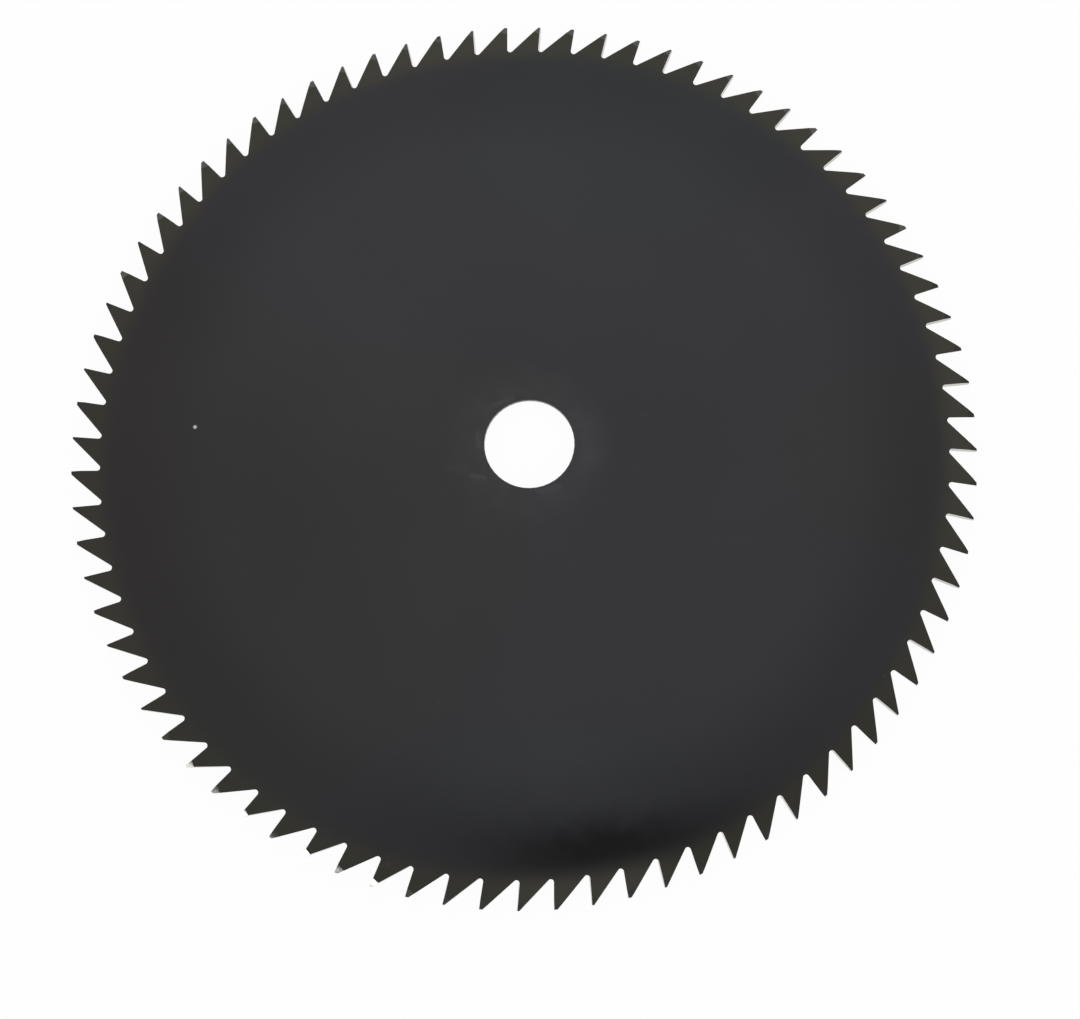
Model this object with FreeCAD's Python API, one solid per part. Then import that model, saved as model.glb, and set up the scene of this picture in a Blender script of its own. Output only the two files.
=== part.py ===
import FreeCAD, Part

import math
import os

# Plate, in millimetres
tip_diameter = 255.0
bore_diameter = 25.4
plate_thickness = 1.4
bore_edge_break = 0.15

# Teeth, in millimetres and degrees
tooth_count = 80
tooth_depth = 8.0
hook_angle = 3.0
tip_land = 0.7
gullet_radius = 0.85
bevel_angle = 12.0
tip_facet_length = 2.0
tip_facet_angle = 8.0

# Room that the cutters have past the steel
cutter_margin = 0.5

# Sizes that follow from those above
tip_radius = tip_diameter / 2
bore_radius = bore_diameter / 2
root_radius = tip_radius - tooth_depth
half_thickness = plate_thickness / 2
pitch = math.radians(360 / tooth_count)
hook = math.radians(hook_angle)
bevel = math.radians(bevel_angle)
land = tip_land / tip_radius
up = FreeCAD.Vector(0, 0, 1)
centre = FreeCAD.Vector(0, 0, 0)


def polar(radius, angle):
    """Point on the middle plane, at an angle in radians from +X."""
    return FreeCAD.Vector(radius * math.cos(angle), radius * math.sin(angle), 0)


def turned(vector, angle):
    """The vector turned about +Z by an angle in radians."""
    return FreeCAD.Rotation(up, math.degrees(angle)).multVec(vector)


def unit(vector):
    """The vector at a length of one."""
    return vector * (1 / vector.Length)


def gullet():
    """Lines and round of the gullet in front of the tooth whose rake corner is on +X.

    The rake face leans forward by the hook angle. The round touches it at the root circle's depth, and the
    straight back of the tooth in front runs from its tip land to touch the same round.
    """
    rake_corner = polar(tip_radius, 0)
    rake_inward = -polar(1, -hook)
    rake_outside = unit(turned(rake_inward, math.pi / 2))
    offset_corner = rake_corner + rake_outside * gullet_radius
    along = offset_corner.dot(rake_inward)
    reach = root_radius + gullet_radius
    rake_length = -along - math.sqrt(along ** 2 - offset_corner.Length ** 2 + reach ** 2)
    rake_end = rake_corner + rake_inward * rake_length
    middle = rake_end + rake_outside * gullet_radius

    back_corner = polar(tip_radius, land - pitch)
    to_middle = middle - back_corner
    back_length = math.sqrt(to_middle.Length ** 2 - gullet_radius ** 2)
    back_inward = turned(unit(to_middle), math.asin(gullet_radius / to_middle.Length))
    back_end = back_corner + back_inward * back_length
    deepest = middle + unit((rake_end - middle) + (back_end - middle)) * gullet_radius
    return {
        "rake_corner": rake_corner,
        "rake_inward": rake_inward,
        "rake_end": rake_end,
        "deepest": deepest,
        "back_end": back_end,
        "back_corner": back_corner,
        "back_inward": back_inward,
    }


def gullet_cutter(shape, lean):
    """Slot that a tilted grinding wheel leaves: it leans along the rim, so it bevels both flanks."""
    rake_outer = shape["rake_corner"] - shape["rake_inward"] * cutter_margin
    back_outer = shape["back_corner"] - shape["back_inward"] * cutter_margin
    outline = Part.Wire([
        Part.LineSegment(rake_outer, shape["rake_end"]).toShape(),
        Part.Arc(shape["rake_end"], shape["deepest"], shape["back_end"]).toShape(),
        Part.LineSegment(shape["back_end"], back_outer).toShape(),
        Part.LineSegment(back_outer, rake_outer).toShape(),
    ])
    along_rim = turned(unit(shape["deepest"]), math.pi / 2)
    half_run = (up + along_rim * (lean * math.tan(bevel))) * (half_thickness + cutter_margin)
    face = Part.Face(outline)
    face.translate(-half_run)
    return face.extrude(half_run * 2)


def tip_facet_cutter(shape, side):
    """Wedge that thins one face of a tooth towards its tip, square to the tooth's own axis."""
    rake_inward = shape["rake_inward"]
    back_inward = turned(shape["back_inward"], pitch)
    outward = -unit(rake_inward + back_inward)
    across = turned(outward, math.pi / 2)
    slope = math.tan(math.radians(tip_facet_angle))
    start = polar(tip_radius, land / 2) - outward * tip_facet_length
    before = tip_facet_length / 2
    beyond = tip_facet_length * 2
    top = half_thickness + before * slope + cutter_margin

    def corner(distance, height):
        return start + outward * distance + up * (side * height)

    section = Part.makePolygon([
        corner(-before, half_thickness + before * slope),
        corner(beyond, half_thickness - beyond * slope),
        corner(beyond, top),
        corner(-before, top),
        corner(-before, half_thickness + before * slope),
    ])
    width = tip_facet_length * 2
    face = Part.Face(section)
    face.translate(across * (-width / 2))
    return face.extrude(across * width)


def ring_of(cutter, first, step):
    """Copies of a cutter, turned to every tooth from the first one in the given step."""
    copies = []
    for index in range(first, tooth_count, step):
        copy = cutter.copy()
        copy.rotate(centre, up, math.degrees(index * pitch))
        copies.append(copy)
    return copies


def plate():
    """Flat disc with its bore, whose two edges are broken by a small chamfer.

    The disc is turned by half a pitch so that its rim's seam lies in a gullet and crosses no tip land.
    """
    underside = -up * half_thickness
    disc = Part.makeCylinder(tip_radius, plate_thickness, underside)
    bore = Part.makeCylinder(bore_radius, plate_thickness, underside)
    ring = disc.cut(bore)
    bore_edges = [
        edge for edge in ring.Edges
        if isinstance(edge.Curve, Part.Circle) and edge.Curve.Radius < tip_radius
    ]
    ring = ring.makeChamfer(bore_edge_break, bore_edges)
    ring.rotate(centre, up, -math.degrees(pitch) / 2)
    return ring


def blade():
    """The whole blade: a toothed steel plate in one piece."""
    shape = gullet()
    cutters = ring_of(gullet_cutter(shape, 1), 0, 2)
    cutters += ring_of(gullet_cutter(shape, -1), 1, 2)
    cutters += ring_of(tip_facet_cutter(shape, 1), 0, 1)
    cutters += ring_of(tip_facet_cutter(shape, -1), 0, 1)
    return plate().cut(cutters)


os.makedirs("parts", exist_ok=True)
solid = blade().Solids[0]
solid.exportStep("parts/blade.step")
print("valid", solid.isValid(), "volume", round(solid.Volume, 1), "faces", len(solid.Faces))
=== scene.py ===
import math

import bpy
from mathutils import Matrix, Vector


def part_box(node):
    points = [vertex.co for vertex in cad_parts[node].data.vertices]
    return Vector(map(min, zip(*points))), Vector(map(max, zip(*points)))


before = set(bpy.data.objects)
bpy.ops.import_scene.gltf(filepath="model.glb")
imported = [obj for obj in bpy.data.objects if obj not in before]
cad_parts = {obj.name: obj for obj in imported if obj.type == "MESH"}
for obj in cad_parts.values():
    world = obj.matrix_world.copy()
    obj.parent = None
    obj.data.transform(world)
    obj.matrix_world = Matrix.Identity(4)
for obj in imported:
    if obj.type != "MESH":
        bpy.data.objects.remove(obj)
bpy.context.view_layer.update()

# Photograph, in pixels. The lens axis is half way down it.
picture_size = (1080, 1019)
lens_axis_pixel = (661.55, picture_size[1] / 2)
focal_length_pixels = 1351.1

# Camera, in metres and degrees, as the tips and the bore of the blade place it
camera_place = (0.02609, -0.08392, 0.37458)
camera_turn = (9.930, -1.846, 0.524)
camera_reach = (0.01, 50)
sensor_width_mm = 36.0

# Blade, in metres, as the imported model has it
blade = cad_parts["blade"]
blade_low, blade_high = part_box("blade")
face_height = blade_high.z
tip_radius = blade_high.x
bore_radius = 0.0127
tooth_count = 80
tooth_depth = 0.0080
root_radius = tip_radius - tooth_depth
facet_length = 0.0020
pitch = 2 * math.pi / tooth_count

# How the surfaces are told apart, each pair from surely not to surely: coat and facets by their slope from level,
# in degrees, and the upper side by how far it faces up. The bore's wall ends between two distances past its radius,
# in metres.
coat_slopes = (5, 3)
facet_slopes = (20, 12)
upper_facing = (0.2, 0.6)
bore_wall_edge = (0.0004, 0.0005)

# Noise, in waves to a metre, and how far it moves the edges of the tints, in metres and in shares of an oval
cloud_waves = 22
drift_waves = 14
mottle_waves = 170
grain_waves = 2600
drift_range = 0.05
oval_drift = 16.0

# Parts of a noise's range that are spread over a tone or a gloss
wide_part = (0.2, 0.8)
middle_part = (0.25, 0.75)
narrow_part = (0.3, 0.7)

# Colours, as red, green and blue parts of light
coat_colour = (0.0446, 0.0446, 0.0446)
coat_tints = {
    "plain": (1.00, 1.00, 1.00),
    "mauve": (1.00, 0.970, 1.080),
    "slate": (0.985, 0.982, 1.052),
    "teal": (0.920, 0.987, 1.064),
    "blue": (0.945, 0.985, 1.085),
    "russet": (1.055, 0.980, 1.005),
}
tooth_colour = (0.0437, 0.0423, 0.0345)
smudge_colour = (0.0036, 0.0036, 0.0036)
rubbed_colour = (0.30, 0.30, 0.30)
speck_colour = (0.55, 0.55, 0.55)
facet_colour = (0.36, 0.352, 0.335)
flank_colour = (0.58, 0.57, 0.55)
bore_wall_colour = (0.15, 0.148, 0.143)
floor_colour = (0.86, 0.86, 0.86)
white = (1.0, 1.0, 1.0)

# Where the coat turns mauve, in degrees from +X, and in metres from the middle to start and end
mauve_sides = (
    {"towards": 0, "from": -0.002, "full": 0.012},
    {"towards": 69, "from": 0.011, "full": 0.022},
    {"towards": -45, "from": 0.028, "full": 0.038},
)

# Soft ovals on the face with a tint of their own, in metres, and the shares of their half widths where they fade
tint_ovals = (
    {"tint": "slate", "middle": (0.000, 0.055), "half_widths": (0.066, 0.034), "share": 1.0},
    {"tint": "plain", "middle": (0.106, -0.004), "half_widths": (0.037, 0.032), "share": 0.75},
    {"tint": "teal", "middle": (0.028, 0.100), "half_widths": (0.048, 0.036), "share": 1.0},
    {"tint": "blue", "middle": (0.014, -0.094), "half_widths": (0.046, 0.020), "share": 0.8},
)
oval_fade = (0.70, 1.25)

# The russet left rim, in metres across from the middle to start and end
russet_run = (-0.084, -0.108)

# Brightness of the coat: its clouds and grain, and the darker rim, in metres, which is fainter at the far side
cloud_tones = (0.975, 1.025)
grain_tones = (0.95, 1.05)
rim_radii = (0.085, 0.112)
rim_darkness = 0.22
rim_run = (-0.080, 0.030)
far_rim_share = 0.75

# Painted shade and painted sheen: sides of the coat darker or paler as the light falls, in degrees from +X, and in
# metres from the middle to start and end
painted_shade_and_sheen = (
    {"towards": 205, "from": 0.022, "full": 0.085, "share": -0.12},
    {"towards": 98, "from": -0.020, "full": 0.075, "share": 0.11},
    {"towards": 282, "from": 0.084, "full": 0.101, "share": -0.07},
)

# Paler coat round the bore, in metres from its edge
rubbed_reach = (0.001, 0.014)
rubbed_share = 0.17
rubbed_patches = (0.5, 1.5)

# Where the coat of the faces ends and that of the teeth begins, in metres from the root circle
tooth_edge = (-0.0030, 0.0040)
tooth_edge_wander = 0.003

# Teeth that are paler or darker, in degrees from +X and degrees to each side, and how much of a patch is at its full
# share
tooth_patches = (
    {"towards": 28, "reach": 52, "share": 0.27},
    {"towards": 118, "reach": 60, "share": 0.22},
    {"towards": 103, "reach": 18, "share": 0.14},
    {"towards": 238, "reach": 34, "share": -0.15},
    {"towards": 279, "reach": 12, "share": 0.22},
    {"towards": 308, "reach": 24, "share": -0.11},
)
tooth_patch_core = 0.2

# Dark smudge beside the lower teeth, in metres and degrees from +X: where it starts, is full, fades and ends
smudge_radii = (0.0995, 0.1125, 0.1140, 0.1225)
smudge_angles = (-105.0, -79.0, -79.0, -47.0)
smudge_lean = 0.016
smudge_wander = 0.006
smudge_share = 0.83
smudge_mottle = (0.88, 1.0)
smudge_last_share = 0.05

# Faint strokes on the upper face, where the photograph shows them in pixels, and where they fade out in metres
scratch_strokes = (
    {"from": (471.6, 475.5), "to": (484.5, 477.5), "fade": 0.0010, "share": 0.07},
    {"from": (448, 468), "to": (466, 470), "fade": 0.0014, "share": 0.02},
    {"from": (494, 405), "to": (512, 398), "fade": 0.0012, "share": 0.045},
    {"from": (478, 433), "to": (479, 447), "fade": 0.0012, "share": 0.05},
    {"from": (540, 491), "to": (560, 487), "fade": 0.0018, "share": 0.04},
    {"from": (584, 426), "to": (589, 456), "fade": 0.0080, "share": 0.025},
)

# White speck on the upper face, where the photograph shows it in pixels, and its radii in metres
speck_pixel = (195, 427)
speck_radii = (0.0003, 0.0007)

# Faint pale dust: the specks that could lie along a metre, their least radius and how far others are past it, in
# metres, and which of them show
dust_cells = 90.0
dust_radius = 0.0003
dust_radius_range = 0.0005
dust_chance = (0.72, 1.0)
dust_share = 0.035

# Hand grinding: how far the tip facets differ in tilt, as a slope, where their random order starts, and how much
# the slope of a facet changes along a metre
tilt_range = 0.16
tilt_seed = 5771
facet_crown = 25.0

# Fine relief, in metres: the grain of the coat, and the lines on the ground steel, which are fainter on the facets
relief_strength = 0.15
grain_depth = 0.00005
line_depth = 0.00001
line_waves = 9000
line_stretch = (1, 1, 0.08)
facet_line_share = 0.07

# Gloss, and how the brightness of the steel varies
coat_roughness = (0.47, 0.53)
steel_roughness = (0.18, 0.24)
facet_roughness = 0.125
coat_specular = 0.3
steel_tones = (0.94, 1.06)

# Floor, in metres: a flat round that sweeps up into a low wall, and how nearly white the camera sees it
flat_radius = 2.2
sweep_radius = 0.8
sweep_steps = 12
floor_sides = 128
floor_gap = 0.00002
floor_whiteness = 0.965

# Light, in metres and watts. Each lamp is a rectangle whose long side lies along a direction.
sky_strength = 0.10
lamps = {
    "far_lamp": {"place": (0.10, 1.40, 0.42), "along": (1, 0, 0), "size": (1.7, 0.40), "power": 18.5},
    "right_lamp": {"place": (1.40, -0.10, 0.42), "along": (0, 1, 0), "size": (1.7, 0.40), "power": 15.5},
    "near_lamp": {"place": (-0.10, -1.40, 0.42), "along": (1, 0, 0), "size": (1.7, 0.40), "power": 10.5},
    "left_lamp": {"place": (-1.40, 0.10, 0.42), "along": (0, 1, 0), "size": (1.7, 0.40), "power": 10.5},
    "glint_lamp": {
        "place": (-0.534, -0.423, 1.045), "along": (0.677, -0.737, 0.069), "size": (0.36, 0.17), "power": 0.94,
    },
    "high_lamp": {"place": (0.03, 0.85, 0.85), "along": (1, 0, 0), "size": (1.7, 0.60), "power": 0.48},
}
mirrored_lamps = ("glint_lamp", "high_lamp")


def direction(degrees):
    """The level direction at an angle from +X."""
    turn = math.radians(degrees)
    return math.cos(turn), math.sin(turn), 0


def cosines(degrees):
    """The cosines of some angles."""
    return [math.cos(math.radians(angle)) for angle in degrees]


def tinted(name):
    """The coat's colour with one of its faint tints."""
    return tuple(part * share for part, share in zip(coat_colour, coat_tints[name]))


def make_camera():
    """The camera at the photograph's viewing angle, looking down on the blade as it lies flat."""
    width = picture_size[0]
    data = bpy.data.cameras.new("camera")
    data.sensor_width = sensor_width_mm
    data.lens = focal_length_pixels / width * sensor_width_mm
    data.shift_x = (width / 2 - lens_axis_pixel[0]) / width
    data.clip_start, data.clip_end = camera_reach
    camera = bpy.data.objects.new("camera", data)
    camera.location = camera_place
    camera.rotation_euler = [math.radians(angle) for angle in camera_turn]
    bpy.context.scene.collection.objects.link(camera)
    bpy.context.scene.camera = camera
    bpy.context.view_layer.update()
    return camera


def on_face(camera, pixel):
    """The point of the blade's upper face that the camera shows at a pixel of the photograph."""
    across = (pixel[0] - lens_axis_pixel[0]) / focal_length_pixels
    down = (pixel[1] - lens_axis_pixel[1]) / focal_length_pixels
    ray = camera.matrix_world.to_3x3() @ Vector((across, -down, -1))
    reach = (face_height - camera.location.z) / ray.z
    return camera.location + ray * reach


def make_lamps():
    """Soft lamps, each aimed at the blade's middle and unseen by the camera. The steel mirrors only some of them."""
    for name, settings in lamps.items():
        data = bpy.data.lights.new(name, "AREA")
        data.shape = "RECTANGLE"
        data.size, data.size_y = settings["size"]
        data.energy = settings["power"]
        back = Vector(settings["place"]).normalized()
        along = Vector(settings["along"])
        along = (along - back * along.dot(back)).normalized()
        lamp = bpy.data.objects.new(name, data)
        lamp.location = settings["place"]
        lamp.rotation_euler = Matrix((along, back.cross(along), back)).transposed().to_euler()
        lamp.visible_camera = False
        lamp.visible_glossy = name in mirrored_lamps
        bpy.context.scene.collection.objects.link(lamp)


def make_sky():
    """A dim even sky, so that the studio above the blade is darker than its sweep. The camera sees it white."""
    world = bpy.data.worlds.new("sky")
    world.use_nodes = True
    nodes = world.node_tree.nodes
    links = world.node_tree.links
    dim = nodes["Background"]
    bright = nodes.new("ShaderNodeBackground")
    for background, strength in ((dim, sky_strength), (bright, 1.0)):
        background.inputs["Color"].default_value = (*white, 1)
        background.inputs["Strength"].default_value = strength
    both = nodes.new("ShaderNodeMixShader")
    path = nodes.new("ShaderNodeLightPath")
    links.new(path.outputs["Is Camera Ray"], both.inputs[0])
    links.new(dim.outputs[0], both.inputs[1])
    links.new(bright.outputs[0], both.inputs[2])
    links.new(both.outputs[0], nodes["World Output"].inputs["Surface"])
    bpy.context.scene.world = world


class Graph:
    """Short calls that build one material from nodes."""

    def __init__(self, name):
        self.material = bpy.data.materials.new(name)
        self.material.use_nodes = True
        self.tree = self.material.node_tree
        self.tree.nodes.clear()

    def put(self, socket, value):
        """Gives an input another node's output, a number, a vector or a colour."""
        if isinstance(value, bpy.types.NodeSocket):
            self.tree.links.new(value, socket)
        elif isinstance(value, (tuple, Vector)):
            socket.default_value = (*value, 1) if socket.type == "RGBA" else tuple(value)
        else:
            socket.default_value = value

    def node(self, kind, inputs=(), **settings):
        """A node of a kind, with its settings and its inputs by name or number."""
        made = self.tree.nodes.new(kind)
        for name, value in settings.items():
            setattr(made, name, value)
        for key, value in dict(inputs).items():
            self.put(made.inputs[key], value)
        return made

    def maths(self, operation, first, second=0.0, third=0.0):
        """One arithmetic step on numbers."""
        made = self.node("ShaderNodeMath", {0: first, 1: second, 2: third}, operation=operation)
        return made.outputs[0]

    def product(self, *values):
        """All the numbers multiplied."""
        result = values[0]
        for value in values[1:]:
            result = self.maths("MULTIPLY", result, value)
        return result

    def vector(self, operation, first, second=(0, 0, 0), output="Vector"):
        """One arithmetic step on vectors."""
        made = self.node("ShaderNodeVectorMath", {0: first, 1: second}, operation=operation)
        return made.outputs[output]

    def step(self, value, low, high, start=0.0, end=1.0):
        """A smooth change from start to end, while a value goes from low to high."""
        inputs = {"Value": value, "From Min": low, "From Max": high, "To Min": start, "To Max": end}
        return self.node("ShaderNodeMapRange", inputs, interpolation_type="SMOOTHSTEP").outputs["Result"]

    def mix(self, share, first, second):
        """A colour between two, by a share of the second."""
        made = self.node("ShaderNodeMix", {0: share, 6: first, 7: second}, data_type="RGBA")
        return made.outputs[2]

    def blend(self, share, first, second):
        """A number between two, by a share of the second."""
        return self.node("ShaderNodeMix", {0: share, 2: first, 3: second}).outputs[0]

    def scaled(self, colour, factor):
        """A colour or vector made larger or smaller by a factor."""
        return self.node("ShaderNodeVectorMath", {0: colour, "Scale": factor}, operation="SCALE").outputs[0]

    def noise(self, place, scale, detail=2.0, roughness=0.5):
        """Cloudy noise from 0 to 1, where scale is how many waves go in a metre."""
        inputs = {"Vector": place, "Scale": scale, "Detail": detail, "Roughness": roughness}
        return self.node("ShaderNodeTexNoise", inputs).outputs[0]

    def from_stroke(self, place, start, end):
        """Distance from a straight stroke between two points."""
        along = end - start
        offset = self.vector("SUBTRACT", place, start)
        run = self.vector("DOT_PRODUCT", offset, along / along.length_squared, output="Value")
        run = self.node("ShaderNodeClamp", {"Value": run}).outputs[0]
        nearest = self.vector("ADD", self.scaled(along, run), start)
        return self.vector("DISTANCE", place, nearest, output="Value")

    def finish(self, surface):
        """Ends the material with its surface shader."""
        output = self.node("ShaderNodeOutputMaterial")
        self.tree.links.new(surface, output.inputs["Surface"])
        return self.material


def floor_material():
    """Pale floor that the camera and mirror-like surfaces see as almost white, with a faint shadow."""
    graph = Graph("floor")
    diffuse = graph.node("ShaderNodeBsdfDiffuse", {"Color": floor_colour})
    glow = graph.node("ShaderNodeEmission", {"Color": white, "Strength": 1.0})
    path = graph.node("ShaderNodeLightPath").outputs
    seen = graph.maths("MAXIMUM", path["Is Camera Ray"], path["Is Glossy Ray"])
    seen = graph.maths("MAXIMUM", seen, path["Is Transmission Ray"])
    share = graph.maths("MULTIPLY", seen, floor_whiteness)
    both = graph.node("ShaderNodeMixShader", {0: share, 1: diffuse.outputs[0], 2: glow.outputs[0]})
    return graph.finish(both.outputs[0])


def make_floor():
    """A round floor that sweeps up into a low wall all round, like a studio's paper sweep."""
    profile = [(flat_radius, 0.0)]
    for index in range(1, sweep_steps + 1):
        angle = math.pi / 2 * index / sweep_steps
        profile.append((flat_radius + sweep_radius * math.sin(angle), sweep_radius * (1 - math.cos(angle))))
    vertices = [(0.0, 0.0, 0.0)]
    for radius, height in profile:
        for side in range(floor_sides):
            turn = 2 * math.pi * side / floor_sides
            vertices.append((radius * math.cos(turn), radius * math.sin(turn), height))
    faces = []
    for side in range(floor_sides):
        after = (side + 1) % floor_sides
        faces.append((0, 1 + side, 1 + after))
        for ring in range(sweep_steps):
            inner = 1 + ring * floor_sides
            outer = inner + floor_sides
            faces.append((inner + side, outer + side, outer + after, inner + after))
    mesh = bpy.data.meshes.new("floor")
    mesh.from_pydata(vertices, [], faces)
    mesh.shade_smooth()
    floor = bpy.data.objects.new("floor", mesh)
    floor.location.z = blade_low.z - floor_gap
    floor.data.materials.append(floor_material())
    bpy.context.scene.collection.objects.link(floor)


class Blade:
    """Places and masks on the blade that its finish is built from."""

    def __init__(self, graph):
        self.place = graph.node("ShaderNodeTexCoord").outputs["Object"]
        self.normal = graph.node("ShaderNodeNewGeometry").outputs["True Normal"]
        self.flat_place = graph.vector("MULTIPLY", self.place, (1, 1, 0))
        self.radius = graph.vector("LENGTH", self.flat_place, output="Value")
        parts = graph.node("ShaderNodeSeparateXYZ", {0: self.place}).outputs
        self.across = parts["X"]
        self.far = parts["Y"]
        self.angle = graph.maths("ARCTAN2", self.far, self.across)

        facing = graph.node("ShaderNodeSeparateXYZ", {0: self.normal}).outputs["Z"]
        level = graph.maths("ABSOLUTE", facing)
        self.upper = graph.step(facing, *upper_facing)
        self.coated = graph.step(level, *cosines(coat_slopes))
        self.facet = graph.maths("SUBTRACT", graph.step(level, *cosines(facet_slopes)), self.coated)
        self.bare = graph.maths("SUBTRACT", 1.0, self.coated)
        start, end = bore_wall_edge
        self.bore_wall = graph.step(self.radius, bore_radius + start, bore_radius + end, 1.0, 0.0)

        index = graph.maths("ROUND", graph.maths("DIVIDE", self.angle, pitch))
        index = graph.maths("ADD", index, tilt_seed)
        self.tooth = graph.node("ShaderNodeTexWhiteNoise", {"W": index}, noise_dimensions="1D").outputs

        self.cloud = graph.noise(self.flat_place, cloud_waves, detail=3)
        self.mottle = graph.noise(self.flat_place, mottle_waves, detail=4, roughness=0.6)
        self.grain = graph.noise(self.place, grain_waves)
        drift = graph.noise(self.flat_place, drift_waves)
        self.drift = graph.maths("MULTIPLY_ADD", drift, drift_range, -drift_range / 2)

    def towards(self, graph, degrees):
        """How far a place lies from the blade's middle in a direction."""
        return graph.vector("DOT_PRODUCT", self.flat_place, direction(degrees), output="Value")

    def side(self, graph, zone):
        """How far a place lies within one side of the face, from 0 to 1."""
        lean = graph.maths("ADD", self.towards(graph, zone["towards"]), self.drift)
        return graph.step(lean, zone["from"], zone["full"])

    def oval(self, graph, zone):
        """How far a place lies within a soft oval on the face, from 0 to the oval's share."""
        offset = graph.vector("SUBTRACT", self.flat_place, (*zone["middle"], 0))
        offset = graph.vector("DIVIDE", offset, (*zone["half_widths"], 1))
        reach = graph.vector("LENGTH", offset, output="Value")
        reach = graph.maths("MULTIPLY_ADD", self.drift, oval_drift, reach)
        return graph.step(reach, *oval_fade, zone["share"], 0.0)


def coat_tones(graph, on):
    """Brightness of the coat over the face: even in the middle, darker near the teeth, paler round the bore, with
    painted shade and painted sheen on some sides.
    """
    tone = graph.step(on.cloud, *middle_part, *cloud_tones)
    tone = graph.product(tone, graph.step(on.grain, *wide_part, *grain_tones))
    rim = graph.product(graph.step(on.radius, *rim_radii), graph.step(on.far, *rim_run, 1.0, far_rim_share))
    tone = graph.product(tone, graph.maths("MULTIPLY_ADD", rim, -rim_darkness, 1.0))
    # Painted shade and painted sheen: sides of the face darker or paler as the light falls there
    for patch in painted_shade_and_sheen:
        lean = on.towards(graph, patch["towards"])
        tone = graph.product(tone, graph.step(lean, patch["from"], patch["full"], 1.0, 1 + patch["share"]))
    start, end = rubbed_reach
    rubbed = graph.step(on.radius, bore_radius + start, bore_radius + end, 1.0, 0.0)
    rubbed = graph.product(rubbed, graph.step(on.mottle, *narrow_part, *rubbed_patches), rubbed_share)
    return graph.product(tone, graph.maths("ADD", rubbed, 1.0))


def coat_tint(graph, on):
    """Colour of the coat over the face before its brightness: grey with faint tints."""
    mauve = 0.0
    for zone in mauve_sides:
        mauve = graph.maths("MAXIMUM", mauve, on.side(graph, zone))
    tint = graph.mix(mauve, coat_colour, tinted("mauve"))
    for zone in tint_ovals:
        tint = graph.mix(on.oval(graph, zone), tint, tinted(zone["tint"]))
    russet = graph.step(graph.maths("ADD", on.across, on.drift), *russet_run)
    return graph.mix(russet, tint, tinted("russet"))


def tooth_tones(graph, on):
    """Brightness of the coat on the teeth, round the blade."""
    tone = 1.0
    outward = graph.vector("NORMALIZE", on.flat_place)
    for patch in tooth_patches:
        lean = graph.vector("DOT_PRODUCT", outward, direction(patch["towards"]), output="Value")
        edge = math.cos(math.radians(patch["reach"]))
        core = 1 - (1 - edge) * tooth_patch_core
        tone = graph.maths("ADD", tone, graph.step(lean, edge, core, 0.0, patch["share"]))
    return tone


def smudge(graph, on):
    """Share of the dark smudge: past its full part it leans out towards the teeth, and its inner edge wanders."""
    start, full, fall, end = (math.radians(angle) for angle in smudge_angles)
    share = graph.product(graph.step(on.angle, start, full), graph.step(on.angle, fall, end, 1.0, 0.0))
    fading = graph.maths("MAXIMUM", graph.maths("SUBTRACT", on.angle, fall), 0.0)
    wander = graph.maths("MULTIPLY_ADD", on.mottle, smudge_wander, -smudge_wander / 2)
    inner = graph.maths("MULTIPLY_ADD", fading, -smudge_lean, graph.maths("ADD", on.radius, wander))
    outer = graph.maths("MULTIPLY_ADD", fading, -smudge_lean / 2, on.radius)
    start, full, fall, end = smudge_radii
    inner = graph.step(inner, start, full)
    outer = graph.step(outer, fall, end, 1.0, smudge_last_share)
    mottle = graph.step(on.mottle, *middle_part, *smudge_mottle)
    return graph.product(share, inner, outer, on.upper, mottle, smudge_share)


def dust(graph, on):
    """Share of the faint pale dust."""
    cells = graph.node("ShaderNodeTexVoronoi", {"Vector": on.flat_place, "Scale": dust_cells, "Randomness": 1.0})
    chance = graph.node("ShaderNodeSeparateColor", {0: cells.outputs["Color"]}).outputs
    size = graph.maths("MULTIPLY_ADD", chance[1], dust_radius_range * dust_cells, dust_radius * dust_cells)
    share = graph.maths("LESS_THAN", cells.outputs["Distance"], size)
    return graph.product(share, graph.step(chance[0], *dust_chance, 0.0, dust_share))


def coat(graph, on, camera):
    """Colour of the coated faces, with the marks that the photograph shows on the upper one."""
    start, end = tooth_edge
    teeth = graph.maths("MULTIPLY_ADD", on.mottle, tooth_edge_wander, on.radius)
    teeth = graph.step(teeth, root_radius + start, root_radius + end)
    face_coat = graph.scaled(coat_tint(graph, on), coat_tones(graph, on))
    tooth_coat = graph.scaled(tooth_colour, tooth_tones(graph, on))
    colour = graph.mix(teeth, face_coat, tooth_coat)
    colour = graph.mix(smudge(graph, on), colour, smudge_colour)
    for stroke in scratch_strokes:
        distance = graph.from_stroke(on.place, on_face(camera, stroke["from"]), on_face(camera, stroke["to"]))
        share = graph.step(distance, 0.0, stroke["fade"], stroke["share"], 0.0)
        colour = graph.mix(graph.product(share, on.upper), colour, rubbed_colour)
    colour = graph.mix(dust(graph, on), colour, rubbed_colour)
    distance = graph.vector("DISTANCE", on.place, on_face(camera, speck_pixel), output="Value")
    return graph.mix(graph.step(distance, *speck_radii, 1.0, 0.0), colour, speck_colour)


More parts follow.
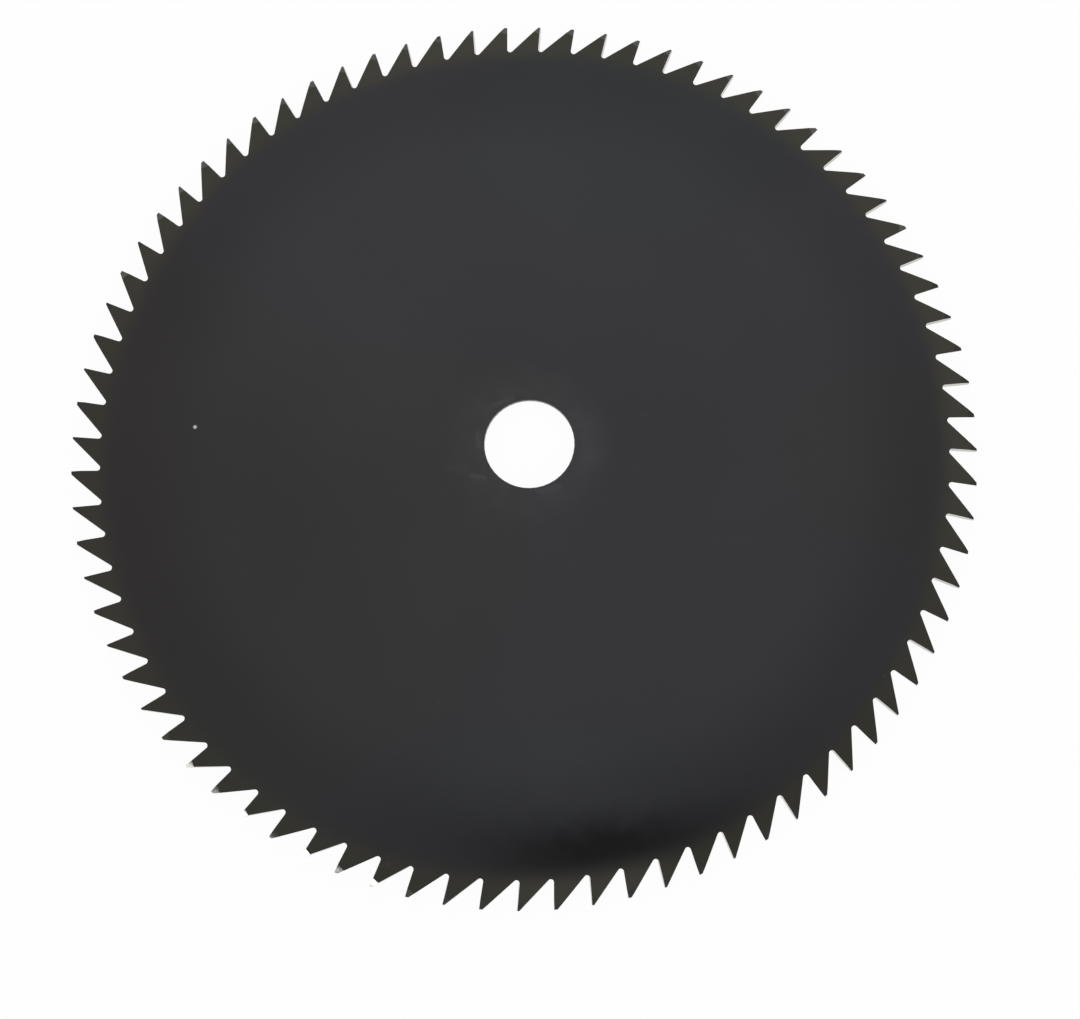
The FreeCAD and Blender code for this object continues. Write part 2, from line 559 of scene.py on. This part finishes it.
def ground_normal(graph, on):
    """Surface direction: each tip facet is ground at a slightly different tilt and is a little crowned."""
    outward = graph.vector("NORMALIZE", on.flat_place)
    tilt = graph.vector("SUBTRACT", on.tooth["Color"], (0.5, 0.5, 0.5))
    tilt = graph.scaled(tilt, tilt_range)
    crown = graph.maths("SUBTRACT", on.radius, tip_radius - facet_length / 2)
    crown = graph.scaled(outward, graph.maths("MULTIPLY", crown, facet_crown))
    tilt = graph.scaled(graph.vector("ADD", tilt, crown), on.facet)
    normal = graph.vector("NORMALIZE", graph.vector("ADD", on.normal, tilt))
    grain = graph.node("ShaderNodeBump", {
        "Strength": relief_strength,
        "Distance": grain_depth,
        "Height": graph.product(on.grain, on.coated),
        "Normal": normal,
    })
    lines = graph.noise(graph.vector("MULTIPLY", on.place, line_stretch), line_waves)
    line_share = graph.maths("MULTIPLY_ADD", on.facet, facet_line_share - 1, on.bare)
    relief = graph.node("ShaderNodeBump", {
        "Strength": relief_strength,
        "Distance": line_depth,
        "Height": graph.product(lines, line_share),
        "Normal": grain.outputs[0],
    })
    return relief.outputs[0]


def blade_material(camera):
    """Dark satin coat on the faces, and bare ground steel on the tooth flanks, the tip facets and the bore."""
    graph = Graph("blade_finish")
    on = Blade(graph)
    steel = graph.mix(on.facet, flank_colour, facet_colour)
    steel = graph.mix(on.bore_wall, steel, bore_wall_colour)
    steel = graph.scaled(steel, graph.step(on.grain, *wide_part, *steel_tones))
    satin = graph.step(on.cloud, *wide_part, *coat_roughness)
    ground = graph.blend(on.facet, graph.step(on.grain, *wide_part, *steel_roughness), facet_roughness)
    shader = graph.node("ShaderNodeBsdfPrincipled", {
        "Base Color": graph.mix(on.coated, steel, coat(graph, on, camera)),
        "Metallic": on.bare,
        "Roughness": graph.blend(on.coated, ground, satin),
        "Specular IOR Level": coat_specular,
        "Normal": ground_normal(graph, on),
    })
    return graph.finish(shader.outputs[0])


def dress_blade(camera):
    """Gives the blade its finish."""
    material = blade_material(camera)
    for slot in blade.material_slots:
        slot.material = material


camera = make_camera()
make_sky()
make_lamps()
make_floor()
dress_blade(camera)

bpy.context.scene.view_settings.view_transform = "Standard"
